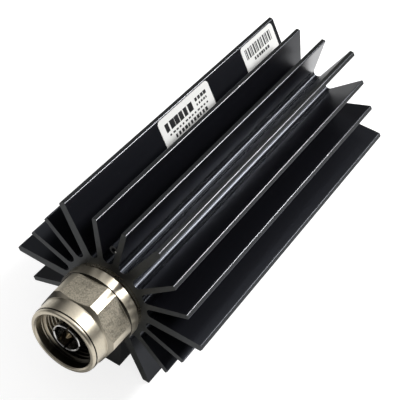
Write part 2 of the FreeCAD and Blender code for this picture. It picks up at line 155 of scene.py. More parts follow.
class StudioSizes(bpy.types.PropertyGroup):
    """Camera, lamps and floor."""
    camera_place: bpy.props.FloatVectorProperty(
        name="Camera place", description="Where the camera stands", default=(0.09855, -0.19058, 0.22111),
        size=3, subtype="TRANSLATION")
    camera_target: bpy.props.FloatVectorProperty(
        name="Camera target", description="Point in the middle of the picture",
        default=(0.000295, -0.00763, 0.02553), size=3, subtype="TRANSLATION")
    camera_roll: bpy.props.FloatProperty(
        name="Camera roll", description="Turn of the camera about its own line of sight",
        default=math.radians(6.277), subtype="ANGLE")
    lens: bpy.props.FloatProperty(
        name="Lens", description="Focal length for a 36 mm sensor", default=94.02, unit="CAMERA")
    key_power: bpy.props.FloatProperty(
        name="Key power", description="Power of the key lamp", default=10.5, min=0, unit="POWER")
    key_place: bpy.props.FloatVectorProperty(
        name="Key place", description="Where the key lamp hangs", default=(0.38, 0.57, 0.60), size=3,
        subtype="TRANSLATION")
    key_size: bpy.props.FloatProperty(
        name="Key size", description="Side of the key lamp", default=0.26, unit="LENGTH")
    curtain_radius: bpy.props.FloatProperty(
        name="Curtain radius", description="Distance of the grey curtain from the load", default=1.2,
        unit="LENGTH")
    curtain_height: bpy.props.FloatProperty(
        name="Curtain height", description="Height of the grey curtain", default=1.6, unit="LENGTH")
    fill: bpy.props.FloatProperty(
        name="Fill", description="Light of the room on matt surfaces", default=0.8, min=0)
    floor_side: bpy.props.FloatProperty(
        name="Floor side", description="Side of the square floor", default=0.9, unit="LENGTH")
    floor_lift: bpy.props.FloatProperty(
        name="Floor lift", description="Whiteness added to the floor as it is seen", default=0.65, min=0)


# Shader nodes

def place(tree, kind, sockets=None, **settings):
    """Add a node, set its own settings, and link or fill the sockets given by name or number."""
    made = tree.nodes.new(kind)
    for key, value in settings.items():
        setattr(made, key, value)
    for key, value in (sockets or {}).items():
        if isinstance(value, bpy.types.NodeSocket):
            tree.links.new(value, made.inputs[key])
        else:
            made.inputs[key].default_value = value
    return made


def maths(tree, operation, *values):
    """One Math node on sockets or numbers, and its result."""
    return place(tree, "ShaderNodeMath", dict(enumerate(values)), operation=operation).outputs[0]


def vector_maths(tree, operation, *values):
    """One Vector Math node on sockets or triples, and the node."""
    return place(tree, "ShaderNodeVectorMath", dict(enumerate(values)), operation=operation)


def product(tree, *values):
    """Product of sockets or numbers."""
    result = values[0]
    for value in values[1:]:
        result = maths(tree, "MULTIPLY", result, value)
    return result


def vector_length(tree, vector):
    """Length of a vector."""
    return vector_maths(tree, "LENGTH", vector).outputs["Value"]


def split(tree, vector):
    """Outputs X, Y and Z of a vector."""
    return place(tree, "ShaderNodeSeparateXYZ", {0: vector}).outputs


def ramp(tree, value, low, high):
    """Smooth step of a value from 0 at low to 1 at high."""
    sockets = {"Value": value, "From Min": low, "From Max": high}
    made = place(tree, "ShaderNodeMapRange", sockets, interpolation_type="SMOOTHSTEP")
    return made.outputs["Result"]


def between(tree, value, low, high):
    """Straight map of a value from 0..1 to low..high."""
    sockets = {"Value": value, "To Min": low, "To Max": high}
    return place(tree, "ShaderNodeMapRange", sockets).outputs["Result"]


def mixed(tree, share, first, second):
    """Colour between two colours."""
    return place(tree, "ShaderNodeMix", {0: share, 6: first, 7: second}, data_type="RGBA").outputs[2]


def blended(tree, share, first, second):
    """Number between two numbers."""
    return place(tree, "ShaderNodeMix", {0: share, 2: first, 3: second}).outputs[0]


def noise(tree, vector, scale, detail, rough):
    """Value of a noise texture, 0 to 1."""
    sockets = {"Vector": vector, "Scale": scale, "Detail": detail, "Roughness": rough}
    return place(tree, "ShaderNodeTexNoise", sockets).outputs["Fac"]


def group(name, inputs, outputs):
    """Empty shader node group with its inputs and their values, and the names of its outputs."""
    tree = bpy.data.node_groups.new(name, "ShaderNodeTree")
    for label, value in inputs.items():
        socket = tree.interface.new_socket(label, in_out="INPUT", socket_type="NodeSocketFloat")
        socket.default_value = value
    for label in outputs:
        tree.interface.new_socket(label, in_out="OUTPUT", socket_type="NodeSocketFloat")
    start = tree.nodes.new("NodeGroupInput")
    end = tree.nodes.new("NodeGroupOutput")
    return tree, start, end


def object_point(tree):
    """Object coordinates of the shaded point."""
    return tree.nodes.new("ShaderNodeTexCoord").outputs["Object"]


def off_line(tree, point, line=AXIS):
    """Offset of a point from a line along the heat sink, square to that line."""
    away = vector_maths(tree, "SUBTRACT", point, line).outputs[0]
    return vector_maths(tree, "MULTIPLY", away, (1.0, 0.0, 1.0)).outputs[0]


def beside_line(tree, point, line, inner, outer):
    """Mask round a line along the heat sink: 1 within the inner distance and 0 past the outer one."""
    return ramp(tree, vector_length(tree, off_line(tree, point, line)), outer, inner)


def grain_group():
    """Fine grain: two sizes of noise in one height, and a mask of its coarser spots."""
    tree, start, end = group("Fine grain", {"Scale": 3000.0, "Coarse share": 0.4}, ("Height", "Spots"))
    point = object_point(tree)
    fine = noise(tree, point, start.outputs["Scale"], 2.0, 0.6)
    coarse_scale = product(tree, start.outputs["Scale"], 0.31)
    coarse = noise(tree, point, coarse_scale, 3.0, 0.65)
    tree.links.new(blended(tree, start.outputs["Coarse share"], fine, coarse), end.inputs["Height"])
    tree.links.new(ramp(tree, coarse, 0.34, 0.74), end.inputs["Spots"])
    return tree


def turned_group():
    """Tool marks of a lathe: noise of the radius and of the place along the plug's axis."""
    tree, start, end = group("Tool marks", {"Pitch": 9000.0}, ("Height", "Bands"))
    spot = object_point(tree)
    sockets = {"X": vector_length(tree, off_line(tree, spot)), "Y": split(tree, spot)["Y"]}
    point = place(tree, "ShaderNodeCombineXYZ", sockets).outputs[0]
    tree.links.new(noise(tree, point, start.outputs["Pitch"], 2.0, 0.7), end.inputs["Height"])
    broad = product(tree, start.outputs["Pitch"], 0.12)
    tree.links.new(noise(tree, point, broad, 2.0, 0.5), end.inputs["Bands"])
    return tree


def streak_group():
    """Die lines of an extrusion: noise stretched along the heat sink."""
    tree, start, end = group("Die lines", {"Scale": 2500.0, "Stretch": 0.01}, ("Height", "Tone"))
    squeeze = place(tree, "ShaderNodeCombineXYZ", {"X": 1.0, "Y": start.outputs["Stretch"], "Z": 1.0})
    point = vector_maths(tree, "MULTIPLY", object_point(tree), squeeze.outputs[0]).outputs[0]
    tree.links.new(noise(tree, point, start.outputs["Scale"], 3.0, 0.6), end.inputs["Height"])
    broad = product(tree, start.outputs["Scale"], 0.12)
    tree.links.new(noise(tree, point, broad, 2.0, 0.5), end.inputs["Tone"])
    return tree


def handling_group():
    """Marks of handling: soft smudges, and small specks of dust."""
    tree, start, end = group("Handling", {"Smudge scale": 90.0, "Speck scale": 1400.0},
                             ("Smudge", "Specks"))
    point = object_point(tree)
    smudge = noise(tree, point, start.outputs["Smudge scale"], 4.0, 0.6)
    speck = noise(tree, point, start.outputs["Speck scale"], 1.0, 0.5)
    tree.links.new(ramp(tree, smudge, 0.38, 0.7), end.inputs["Smudge"])
    tree.links.new(ramp(tree, speck, 0.76, 0.82), end.inputs["Specks"])
    return tree


def rim_group():
    """Edges of the fins' tips.

    Reach is the largest distance from the axis across two opposite sides of the hexagon, and
    facing is the largest share of the normal along such a direction. An edge lies within the
    width of a side, where the normal turns roughly 15 to 45 degrees away from that side: the part
    of each round that catches the key lamp, so that the edge band carries a painted highlight line
    besides wear. A tip lies within that width where the normal doesn't turn away.
    """
    tree, start, end = group("Tip edges", {"Width": 0.4 * MM}, ("Edge", "Tip"))
    coordinates = tree.nodes.new("ShaderNodeTexCoord")
    centred = off_line(tree, coordinates.outputs["Object"])
    reach, facing = 0.0, 0.0
    for side in range(3):
        angle = math.radians(60 * side)
        normal = (math.sin(angle), 0.0, math.cos(angle))
        across = vector_maths(tree, "DOT_PRODUCT", centred, normal).outputs["Value"]
        along = vector_maths(tree, "DOT_PRODUCT", coordinates.outputs["Normal"], normal).outputs["Value"]
        reach = maths(tree, "MAXIMUM", reach, maths(tree, "ABSOLUTE", across))
        facing = maths(tree, "MAXIMUM", facing, maths(tree, "ABSOLUTE", along))
    inside = maths(tree, "SUBTRACT", APOTHEM, reach)
    near = ramp(tree, maths(tree, "DIVIDE", inside, start.outputs["Width"]), 1.0, 0.5)
    turned_away = product(tree, ramp(tree, facing, 0.97, 0.93), ramp(tree, facing, 0.7, 0.78))
    tree.links.new(product(tree, near, turned_away), end.inputs["Edge"])
    tree.links.new(product(tree, near, ramp(tree, facing, 0.95, 0.985)), end.inputs["Tip"])
    return tree


GROUPS = {}


def shared(tree, name, **values):
    """Place one of the shared groups in a material with its own values."""
    makers = {"grain": grain_group, "marks": turned_group, "lines": streak_group,
              "handling": handling_group, "rim": rim_group}
    if name not in GROUPS:
        GROUPS[name] = makers[name]()
    made = tree.nodes.new("ShaderNodeGroup")
    made.node_tree = GROUPS[name]
    for label, value in values.items():
        made.inputs[label.replace("_", " ")].default_value = value
    return made


def full(colour, share=1.0, lift=0.0):
    """Colour times the share plus the lift, with an alpha of one."""
    return (*(share * channel + lift for channel in colour), 1.0)


def material(name, colour):
    """New material with one shader, and its node tree and shader."""
    made = bpy.data.materials.new(name)
    made.use_nodes = True
    made.diffuse_color = full(colour)
    shader = made.node_tree.nodes["Principled BSDF"]
    shader.inputs["Base Color"].default_value = full(colour)
    return made, made.node_tree, shader


def feed(tree, shader, **values):
    """Link or fill the shader's sockets, given with underscores for spaces."""
    for label, value in values.items():
        socket = shader.inputs[label.replace("_", " ")]
        if isinstance(value, bpy.types.NodeSocket):
            tree.links.new(value, socket)
        else:
            socket.default_value = value


def bumped(tree, height, strength, distance, normal=None):
    """Normal of a bump of the given height."""
    sockets = {"Height": height, "Strength": strength, "Distance": distance}
    if normal is not None:
        sockets["Normal"] = normal
    return place(tree, "ShaderNodeBump", sockets).outputs[0]


# Finishes

def anodised_sink():
    """Black anodised extrusion: die lines on its flanks, sawn grey ends, rubbed tips."""
    colours = bpy.context.scene.load_colours
    made, tree, shader = material("anodised_sink", colours.anodised)
    coordinates = tree.nodes.new("ShaderNodeTexCoord")
    point = coordinates.outputs["Object"]
    spot = split(tree, point)
    facing = split(tree, coordinates.outputs["Normal"])
    cut = ramp(tree, maths(tree, "ABSOLUTE", facing["Y"]), 0.6, 0.9)
    lines = shared(tree, "lines", Scale=5200.0, Stretch=0.004)
    saw = shared(tree, "grain", Scale=2200.0, Coarse_share=0.5)
    hand = shared(tree, "handling", Smudge_scale=70.0, Speck_scale=1300.0)
    rims = shared(tree, "rim", Width=0.4 * MM)
    flank = mixed(tree, lines.outputs["Tone"], full(colours.anodised), full(colours.anodised, 0.75, 0.004))
    specks = product(tree, hand.outputs["Specks"], 0.6)
    flank = mixed(tree, specks, flank, full(colours.anodised, lift=0.03))
    flank = mixed(tree, rims.outputs["Tip"], flank, full(colours.cut_face, 0.22))
    sawn = mixed(tree, saw.outputs["Spots"], full(colours.cut_face), full(colours.cut_face, 0.8))
    # Painted shade on the front face round a place above the nut's top.
    front_face_shade = beside_line(tree, point, SHADED_PLACE, 2.5 * MM, 7.0 * MM)
    sawn = mixed(tree, product(tree, front_face_shade, 0.7), sawn, full(colours.anodised))
    tone = mixed(tree, cut, flank, sawn)

    # The edges carry wear and a painted highlight line; both are weakest at the far end, on their left sides
    # and at the widest fins.
    far_end = between(tree, ramp(tree, spot["Y"], 0.048, 0.015), 0.35, 1.0)
    left_side = between(tree, ramp(tree, facing["X"], -0.55, -0.25), 0.2, 1.0)
    outermost = between(tree, ramp(tree, maths(tree, "ABSOLUTE", spot["X"]), 0.026, 0.023), 0.3, 1.0)
    uncut = maths(tree, "SUBTRACT", 1.0, cut)
    edge = product(tree, rims.outputs["Edge"], uncut, far_end, left_side, outermost)
    tone = mixed(tree, product(tree, edge, 0.65), tone, full(colours.worn_edge_and_highlight))
    # Painted shade: a dark ring round the screw port, so that its hole looks wider and dark.
    rim = beside_line(tree, point, PORT_CENTRE, 0.77 * MM, 0.95 * MM)
    tone = mixed(tree, rim, tone, full(colours.anodised))
    patches = ramp(tree, noise(tree, point, 300.0, 2.0, 0.6), 0.66, 0.8)
    rubbed = product(tree, edge, between(tree, patches, 0.0, 0.5))
    # Bright metal on the worn patches of the edges, and a painted glint at the spot beside the screw port.
    bare_and_glint = maths(tree, "MAXIMUM", rubbed, beside_line(tree, point, PORT_GLINT, 0.27 * MM, 0.34 * MM))
    tone = mixed(tree, bare_and_glint, tone, full(colours.bare_metal))
    in_root = beside_line(tree, point, AXIS, ROOT_RADIUS, ROOT_RADIUS + 1.2 * MM)
    smooth = blended(tree, in_root, between(tree, hand.outputs["Smudge"], 0.29, 0.3), 0.25)
    rough = blended(tree, cut, smooth, 0.42)
    die = bumped(tree, lines.outputs["Height"], 0.03, 0.002 * MM)
    sawn_normal = bumped(tree, saw.outputs["Height"], 0.35, 0.03 * MM)
    normal = place(tree, "ShaderNodeMix", {0: cut, 4: die, 5: sawn_normal}, data_type="VECTOR").outputs[1]
    metallic = maths(tree, "MAXIMUM", product(tree, edge, 0.72), bare_and_glint)
    feed(tree, shader, Base_Color=tone, Roughness=rough, Normal=normal, Metallic=metallic, IOR=1.4,
         Specular_Tint=(0.8, 0.86, 1.0, 1.0))
    return made


def nickel_plate():
    """Satin nickel: turned collars, grainy milled flats, and painted shade in the grooves, on the cone and
    in the bore.
    """
    colours = bpy.context.scene.load_colours
    made, tree, shader = material("nickel_plate", colours.nickel)
    grain = shared(tree, "grain", Scale=8000.0, Coarse_share=0.6)
    marks = shared(tree, "marks", Pitch=14000.0)
    hand = shared(tree, "handling", Smudge_scale=240.0, Speck_scale=2600.0)
    milled = place(tree, "ShaderNodeAttribute", attribute_name="milled").outputs["Fac"]
    painted_shade = place(tree, "ShaderNodeAttribute", attribute_name="painted_shade").outputs["Fac"]
    dull, specked, shaded_tone = (full(colours.nickel, share) for share in (0.4, 0.12, 0.024))
    tone = mixed(tree, milled, full(colours.nickel), full(colours.nickel, 1.05))
    spots = product(tree, grain.outputs["Spots"], between(tree, milled, 0.1, 0.75))
    tone = mixed(tree, spots, tone, dull)
    blotches = ramp(tree, noise(tree, object_point(tree), 620.0, 4.0, 0.65), 0.46, 0.68)
    tone = mixed(tree, product(tree, blotches, between(tree, milled, 0.1, 0.5)), tone, dull)
    tone = mixed(tree, product(tree, hand.outputs["Specks"], 0.7), tone, specked)
    # Painted shade: nearly black in the grooves, on the cone and in the bore.
    tone = mixed(tree, product(tree, painted_shade, 0.95), tone, shaded_tone)
    rough = blended(tree, milled, between(tree, hand.outputs["Smudge"], 0.33, 0.37), 0.44)
    normal = bumped(tree, grain.outputs["Height"], between(tree, milled, 0.12, 0.5), 0.02 * MM)
    normal = bumped(tree, marks.outputs["Height"], 0.2, 0.006 * MM, normal)
    feed(tree, shader, Base_Color=tone, Metallic=1.0, Roughness=rough, Normal=normal)
    return made


def plated_contact():
    """Bright plating of the contacts, with faint tool marks."""
    colours = bpy.context.scene.load_colours
    made, tree, shader = material("plated_contact", colours.silver)
    marks = shared(tree, "marks", Pitch=16000.0)
    hand = shared(tree, "handling", Smudge_scale=500.0, Speck_scale=3000.0)
    tone = mixed(tree, marks.outputs["Bands"], full(colours.silver), full(colours.silver, 0.82))
    rough = between(tree, hand.outputs["Smudge"], 0.14, 0.24)
    normal = bumped(tree, marks.outputs["Height"], 0.25, 0.006 * MM)
    feed(tree, shader, Base_Color=tone, Metallic=1.0, Roughness=rough, Normal=normal)
    return made


def turned_metal(name, colour, rough_low, rough_high, pitch, metallic=1.0):
    """Turned metal of any colour, with tool marks and smudges."""
    made, tree, shader = material(name, colour)
    marks = shared(tree, "marks", Pitch=pitch)
    hand = shared(tree, "handling", Smudge_scale=300.0, Speck_scale=2200.0)
    tone = mixed(tree, marks.outputs["Bands"], full(colour), full(colour, 0.75))
    rough = between(tree, hand.outputs["Smudge"], rough_low, rough_high)
    normal = bumped(tree, marks.outputs["Height"], 0.35, 0.01 * MM)
    feed(tree, shader, Base_Color=tone, Metallic=metallic, Roughness=rough, Normal=normal)
    return made


def moulded(name, colour, rough_low, rough_high, scale):
    """Matt rubber, plastic or ceramic with a fine grain."""
    made, tree, shader = material(name, colour)
    grain = shared(tree, "grain", Scale=scale, Coarse_share=0.5)
    hand = shared(tree, "handling", Smudge_scale=260.0, Speck_scale=1900.0)
    pale = [0.9 * c + 0.1 * c ** 0.5 for c in colour]
    tone = mixed(tree, grain.outputs["Spots"], full(colour), full(pale))
    rough = between(tree, hand.outputs["Smudge"], rough_low, rough_high)
    normal = bumped(tree, grain.outputs["Height"], 0.3, 0.02 * MM)
    feed(tree, shader, Base_Color=tone, Roughness=rough, Normal=normal)
    return made


def label_film():
    """White film: a faint mottle, and a slight orange peel in its gloss."""
    return moulded("label_film", bpy.context.scene.load_colours.film, 0.3, 0.42, 1500.0)


def label_ink():
    """Printed ink, slightly uneven."""
    return moulded("label_ink", bpy.context.scene.load_colours.ink, 0.35, 0.5, 2500.0)


# Surfaces

def bevelled(outline, reach):
    """Closed outlines with a small bevel at each corner.

    A corner C gives the points C + r back and C + r ahead, with back and ahead the unit vectors to
    its neighbours and r the reach, or 0.3 of the shorter edge if that is less. The outline's
    points are on the last but one axis of the array.
    """
    before = np.roll(outline, 1, axis=-2) - outline
    after = np.roll(outline, -1, axis=-2) - outline
    before_length = np.linalg.norm(before, axis=-1, keepdims=True)
    after_length = np.linalg.norm(after, axis=-1, keepdims=True)
    near = np.minimum(reach, 0.3 * np.minimum(before_length, after_length))
    pair = [outline + before / before_length * near, outline + after / after_length * near]
    return np.stack(pair, axis=-2).reshape(*outline.shape[:-2], -1, 2)


def revolved(outlines, angles):
    """Points (r sin a, y, axis height + r cos a) of one (r, y) outline for each angle a."""
    radius, along = outlines[..., 0], outlines[..., 1]
    turn = angles[:, None]
    return np.stack([radius * np.sin(turn), along, AXIS_HEIGHT + radius * np.cos(turn)], axis=-1)


def grid_faces(rows, columns, close_rows, close_columns):
    """Quads of a grid of points, closed to a ring along either way."""
    down = np.arange(rows if close_rows else rows - 1)
    over = np.arange(columns if close_columns else columns - 1)
    row, column = np.meshgrid(down, over, indexing="ij")
    next_row = (row + 1) % rows
    next_column = (column + 1) % columns
    corners = [row * columns + column, next_row * columns + column,
               next_row * columns + next_column, row * columns + next_column]
    return np.stack(corners, axis=-1).reshape(-1, 4)


def outward(points, faces):
    """The same quads, turned round if the volume that they enclose is negative: the sum of
    a . (b x c + c x d) over the quads a b c d.
    """
    a, b, c, d = (points[faces[:, index]] for index in range(4))
    volume = np.sum(a * (np.cross(b, c) + np.cross(c, d)))
    return faces if volume > 0 else faces[:, ::-1]


def piece(name, points, faces, finish, body=None, smooth=True):
    """Mesh object from arrays, with its finish and, unless it is of the studio, its body."""
    mesh = bpy.data.meshes.new(name)
    mesh.vertices.add(len(points))
    mesh.vertices.foreach_set("co", np.asarray(points, np.float32).ravel())
    mesh.loops.add(faces.size)
    mesh.loops.foreach_set("vertex_index", faces.ravel().astype(np.int32))
    mesh.polygons.add(len(faces))
    mesh.polygons.foreach_set("loop_start", (np.arange(len(faces)) * faces.shape[1]).astype(np.int32))
    mesh.update(calc_edges=True)
    mesh.validate()
    mesh.polygons.foreach_set("use_smooth", np.full(len(mesh.polygons), smooth))
    mesh.materials.append(finish)
    made = bpy.data.objects.new(name, mesh)
    bpy.context.scene.collection.objects.link(made)
    if body is not None:
        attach(made, body)
    return made


def dress(node, finish):
    """Give a carried-over node its finish."""
    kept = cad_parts[node]
    kept.data.materials.clear()
    kept.data.materials.append(finish)
    for polygon in kept.data.polygons:
        polygon.material_index = 0


# Coupling nut

def nut_angles(sizes):
    """Even angles round the nut, with one on each edge between a flat and a turned corner."""
    side = math.pi / 3
    flat_steps, strip_steps = 20, 6
    half_flat = math.acos(sizes.across_flats / 2 / NUT_CORNER_RADIUS)
    flat = np.linspace(-half_flat, half_flat, flat_steps + 1)
    strip = np.linspace(half_flat, side - half_flat, strip_steps + 1)[1:-1]
    one_side = np.concatenate([flat, strip])
    return (np.arange(6)[:, None] * side + one_side + sizes.turn + side / 2).ravel()


def hexagon_radius(sizes, angles):
    """Lesser of the corner radius and of h / cos(t), t the angle from the middle of a flat."""
    side = math.pi / 3
    from_middle = (angles - sizes.turn) % side - side / 2
    return np.minimum(sizes.across_flats / 2 / np.cos(from_middle), NUT_CORNER_RADIUS)


def nut_outlines(sizes, angles):
    """Closed (radius, y) outline of the nut at each angle, from the rear face round the outside
    and back through the bore. Two of its points follow the hexagon: the rear end of its side,
    and the place where the cone's radius is the hexagon's.
    """
    corner = NUT_CORNER_RADIUS
    groove_width, groove_depth, bevel = 0.25 * MM, 0.25 * MM, 0.35 * MM
    hex_rear = NUT_REAR - sizes.rear_collar
    hex_front = hex_rear - sizes.hexagon
    slope = math.tan(sizes.chamfer)
    cone_end = hex_front - (corner - sizes.front_radius) * slope
    lip_rear = NUT_FRONT + sizes.lip_length
    shank = 7.08 * MM
    ring_groove = 7.67 * MM
    ring_rear, ring_front = SINK_LOW.y - 3.48 * MM, SINK_LOW.y - 4.52 * MM
    relief, relief_rear = sizes.thread_radius + 0.25 * MM, THREAD_REAR + 1.8 * MM
    thread_front = THREAD_REAR - THREAD_WALL
    mouth_width, mouth_depth = 0.35 * MM, 0.4 * MM
    bow = np.linspace(0, math.pi / 2, 6)
    lip = np.stack([sizes.lip_radius - sizes.lip_round * (1 - np.cos(bow)),
                    NUT_FRONT + sizes.lip_round * (1 - np.sin(bow))], axis=-1)
    before_hexagon = [
        (shank, NUT_REAR), (corner - bevel, NUT_REAR), (corner, NUT_REAR - bevel),
        (corner, hex_rear + groove_width), (corner - groove_depth, hex_rear + groove_width),
        (corner - groove_depth, hex_rear),
    ]
    after_hexagon = [
        (sizes.front_radius, cone_end), (sizes.front_radius, lip_rear + groove_width),
        (sizes.front_radius - groove_depth, lip_rear + groove_width),
        (sizes.front_radius - groove_depth, lip_rear), (sizes.lip_radius, lip_rear),
    ]
    inside = [
        (sizes.mouth_radius + mouth_width, NUT_FRONT), (sizes.mouth_radius, NUT_FRONT + mouth_depth),
        (sizes.mouth_radius, thread_front), (sizes.thread_radius, thread_front),
        (sizes.thread_radius, THREAD_REAR), (relief, THREAD_REAR), (relief, relief_rear),
        (shank, relief_rear), (shank, ring_front), (ring_groove, ring_front), (ring_groove, ring_rear),
        (shank, ring_rear),
    ]
    count = len(angles)
    radius = hexagon_radius(sizes, angles)
    hexagon = np.stack([
        np.stack([radius, np.full(count, hex_rear)], axis=-1),
        np.stack([radius, hex_front - (corner - radius) * slope], axis=-1),
    ], axis=1)

    def all_round(points):
        return np.broadcast_to(np.array(points), (count, len(points), 2))

    return np.concatenate([all_round(before_hexagon), hexagon, all_round(after_hexagon), all_round(lip),
                           all_round(inside)], axis=1)


def helix_ridge(wall, depth, pitch, start, length, steps_a_turn=96):
    """Thread ridge on the inside of a round wall, right-handed: at the angle a it lies at
    y = start + pitch a / 2 pi. Its section is a trapezium from the wall to the wall less the
    depth, with its foot sunk into the wall. The depth falls to nothing over half a turn at
    each end.
    """
    turns = length / pitch
    turn = np.linspace(0, 2 * math.pi * turns, int(steps_a_turn * turns))[:, None]
    fade = np.minimum(1, np.minimum(turn, turn[-1] - turn) / math.pi)
    foot, crest, sunk = 0.44 * pitch, 0.08 * pitch, 0.08 * depth
    across = np.array([-foot, -crest, crest, foot, foot, -foot])
    height = np.array([0.0, depth, depth, 0.0, -sunk, -sunk])
    radius = wall - np.where(height > 0, height * fade, height)
    along = start + pitch * turn / (2 * math.pi) + across
    return np.stack([radius * np.sin(turn), along, AXIS_HEIGHT + radius * np.cos(turn)], axis=-1)


def toward(angles, middle, edge, fade):
    """Share from 0 to 1 round the axis: (cos(a) - edge) / fade, with a the angle from a middle
    that is given in degrees.
    """
    return np.clip((np.cos(angles - math.radians(middle)) - edge) / fade, 0, 1)


def unshaded_share(angles):
    """How much of the bore's painted shade is taken away, 0 to 1: most on its left side, within 50 degrees.
    """
    return toward(angles, 258, math.cos(math.radians(50)), 0.28)


def ridge_piece(name, points, finish, body):
    """Mesh of a ridge from its grid of points, with both ends closed by two quads."""
    rows, columns = points.shape[:2]
    sides = grid_faces(rows, columns, False, True)
    first = np.array([[0, 1, 2, 3], [0, 3, 4, 5]])
    last = (rows - 1) * columns + first[:, ::-1]
    faces = np.concatenate([sides, first, last])
    flat = points.reshape(-1, 3)
    made = piece(name, flat, outward(flat, faces), finish, body)
    made.data.set_sharp_from_angle(angle=math.radians(35))
    # Painted shade on the ridge, taken away on the bore's left side.
    middles = flat[faces].mean(axis=1)
    unshaded = unshaded_share(np.arctan2(middles[:, 0], middles[:, 2] - AXIS_HEIGHT))
    painted_shade = made.data.attributes.new("painted_shade", "FLOAT", "FACE")
    painted_shade.data.foreach_set("value", (1 - unshaded).astype(np.float32))
    return made


def mark_nut(mesh, sizes, angles, rows):
    """Face attributes of the nut: milled on its flats, and painted shade in its grooves, on its cone
    and in its bore.

    Each corner of the outline has two rows of points. The first of its two rows of faces is its
    bevel, and the second runs on to the next corner. Corners are counted from the outline's
    first point.
    """
    corner, runs_on = np.divmod(np.arange(rows), 2)
    flats, cone, grooves, bore = 6, 7, (3, 4, 5, 9, 10, 11), 20
    step = np.diff(angles, append=angles[0] + 2 * math.pi) / 2
    on_flat = hexagon_radius(sizes, angles + step) < NUT_CORNER_RADIUS - 1e-9
    milled = on_flat[:, None] & (corner == flats) & (runs_on == 1)
    # Painted shade on the cone, heaviest round 305 degrees, and in the bore, least on its left side.
    on_cone = 0.45 + 0.55 * toward(angles, 305, 0.8, 0.15)
    in_bore = 1 - 0.8 * unshaded_share(angles)
    painted_shade = (np.isin(corner, grooves) + on_cone[:, None] * (corner == cone)
             + in_bore[:, None] * (corner >= bore))
    for name, values in (("milled", milled), ("painted_shade", painted_shade)):
        made = mesh.attributes.new(name, "FLOAT", "FACE")
        made.data.foreach_set("value", values.astype(np.float32).ravel())


# Label print

def label_axes(node):
    """Middle, directions and half sizes of a label: the principal axes of its points.

    The first direction runs along the heat sink, the second up the fin and the third out of it.
    """
    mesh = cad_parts[node].data
    points = np.empty(len(mesh.vertices) * 3)
    mesh.vertices.foreach_get("co", points)
    points = points.reshape(-1, 3)
    middle = (points.min(0) + points.max(0)) / 2
    along = np.array([0.0, 1.0, 0.0])
    section = (points - middle)[:, [0, 2]]
    _, _, axes = np.linalg.svd(section, full_matrices=False)
    up = np.array([axes[0][0], 0.0, axes[0][1]])
    up *= np.sign(up[2])
    out = np.cross(up, along)
    out *= np.sign(out[0])
    centred = points - middle
    halves = [np.abs(centred @ direction).max() for direction in (along, up, out)]
    return middle, (along, up, out), halves


def printed(name, node, marks, finish):
    """Thin raised plates of ink on a label. A mark is its left, bottom, width and height, as
    shares of the label's length and height; its corners are the middle plus each share times a
    direction.
    """
    middle, (along, up, out), (half_length, half_height, half_thickness) = label_axes(node)
    marks = np.array(marks)
    left, bottom = marks[:, 0] * 2 - 1, marks[:, 1] * 2 - 1
    right, top = left + marks[:, 2] * 2, bottom + marks[:, 3] * 2
    ink = 0.012 * MM
    corners = [middle + np.outer(across * half_length, along) + np.outer(level * half_height, up)
               + (half_thickness + depth) * out
               for depth in (-ink, ink)
               for across, level in ((left, bottom), (right, bottom), (right, top), (left, top))]
    points = np.stack(corners, axis=1).reshape(-1, 3)
    box = np.array([[0, 3, 2, 1], [4, 5, 6, 7], [0, 1, 5, 4], [1, 2, 6, 5], [2, 3, 7, 6], [3, 0, 4, 7]])
    faces = (np.arange(len(marks))[:, None, None] * 8 + box).reshape(-1, 4)
    piece(name, points, outward(points, faces), finish, "load", smooth=False)


def dashes(left, right, bottom, height, count, step, fill):
    """One row of dashes of uneven width, as print looks from a step away. A dash fills a share
    of its pitch that grows by 0.08 for each unit of (number x step) modulo 4.
    """
    pitch = (right - left) / count
    return [(left + number * pitch, bottom, pitch * (fill + 0.08 * (number * step % 4)), height)
            for number in range(count)]


def stripe_marks():
    """Upright bars whose widths and gaps follow a fixed rule, over a row of short dashes."""
    left, right, bottom, height = 0.09, 0.92, 0.6, 0.28
    marks = []
    for number in range(30):
        width = 0.016 + 0.012 * (number * 7 % 3)
        if left + width > right:
            break
        marks.append((left, bottom, width, height))
        left += width + 0.014 + 0.01 * (number * 5 % 3)
    return marks + dashes(0.28, 0.76, 0.46, 0.08, 7, 1, 0.62)


def text_marks():
    """A heading in heavy blocks, a small block beside it and two rows of small print."""
    heading = dashes(0.09, 0.63, 0.66, 0.19, 6, 3, 0.7)
    side = dashes(0.69, 0.92, 0.77, 0.08, 4, 1, 0.66) + dashes(0.69, 0.92, 0.67, 0.05, 5, 5, 0.5)
    small = dashes(0.12, 0.92, 0.56, 0.04, 13, 3, 0.45) + dashes(0.2, 0.86, 0.43, 0.08, 11, 5, 0.5)
    return heading + side + small


# Studio

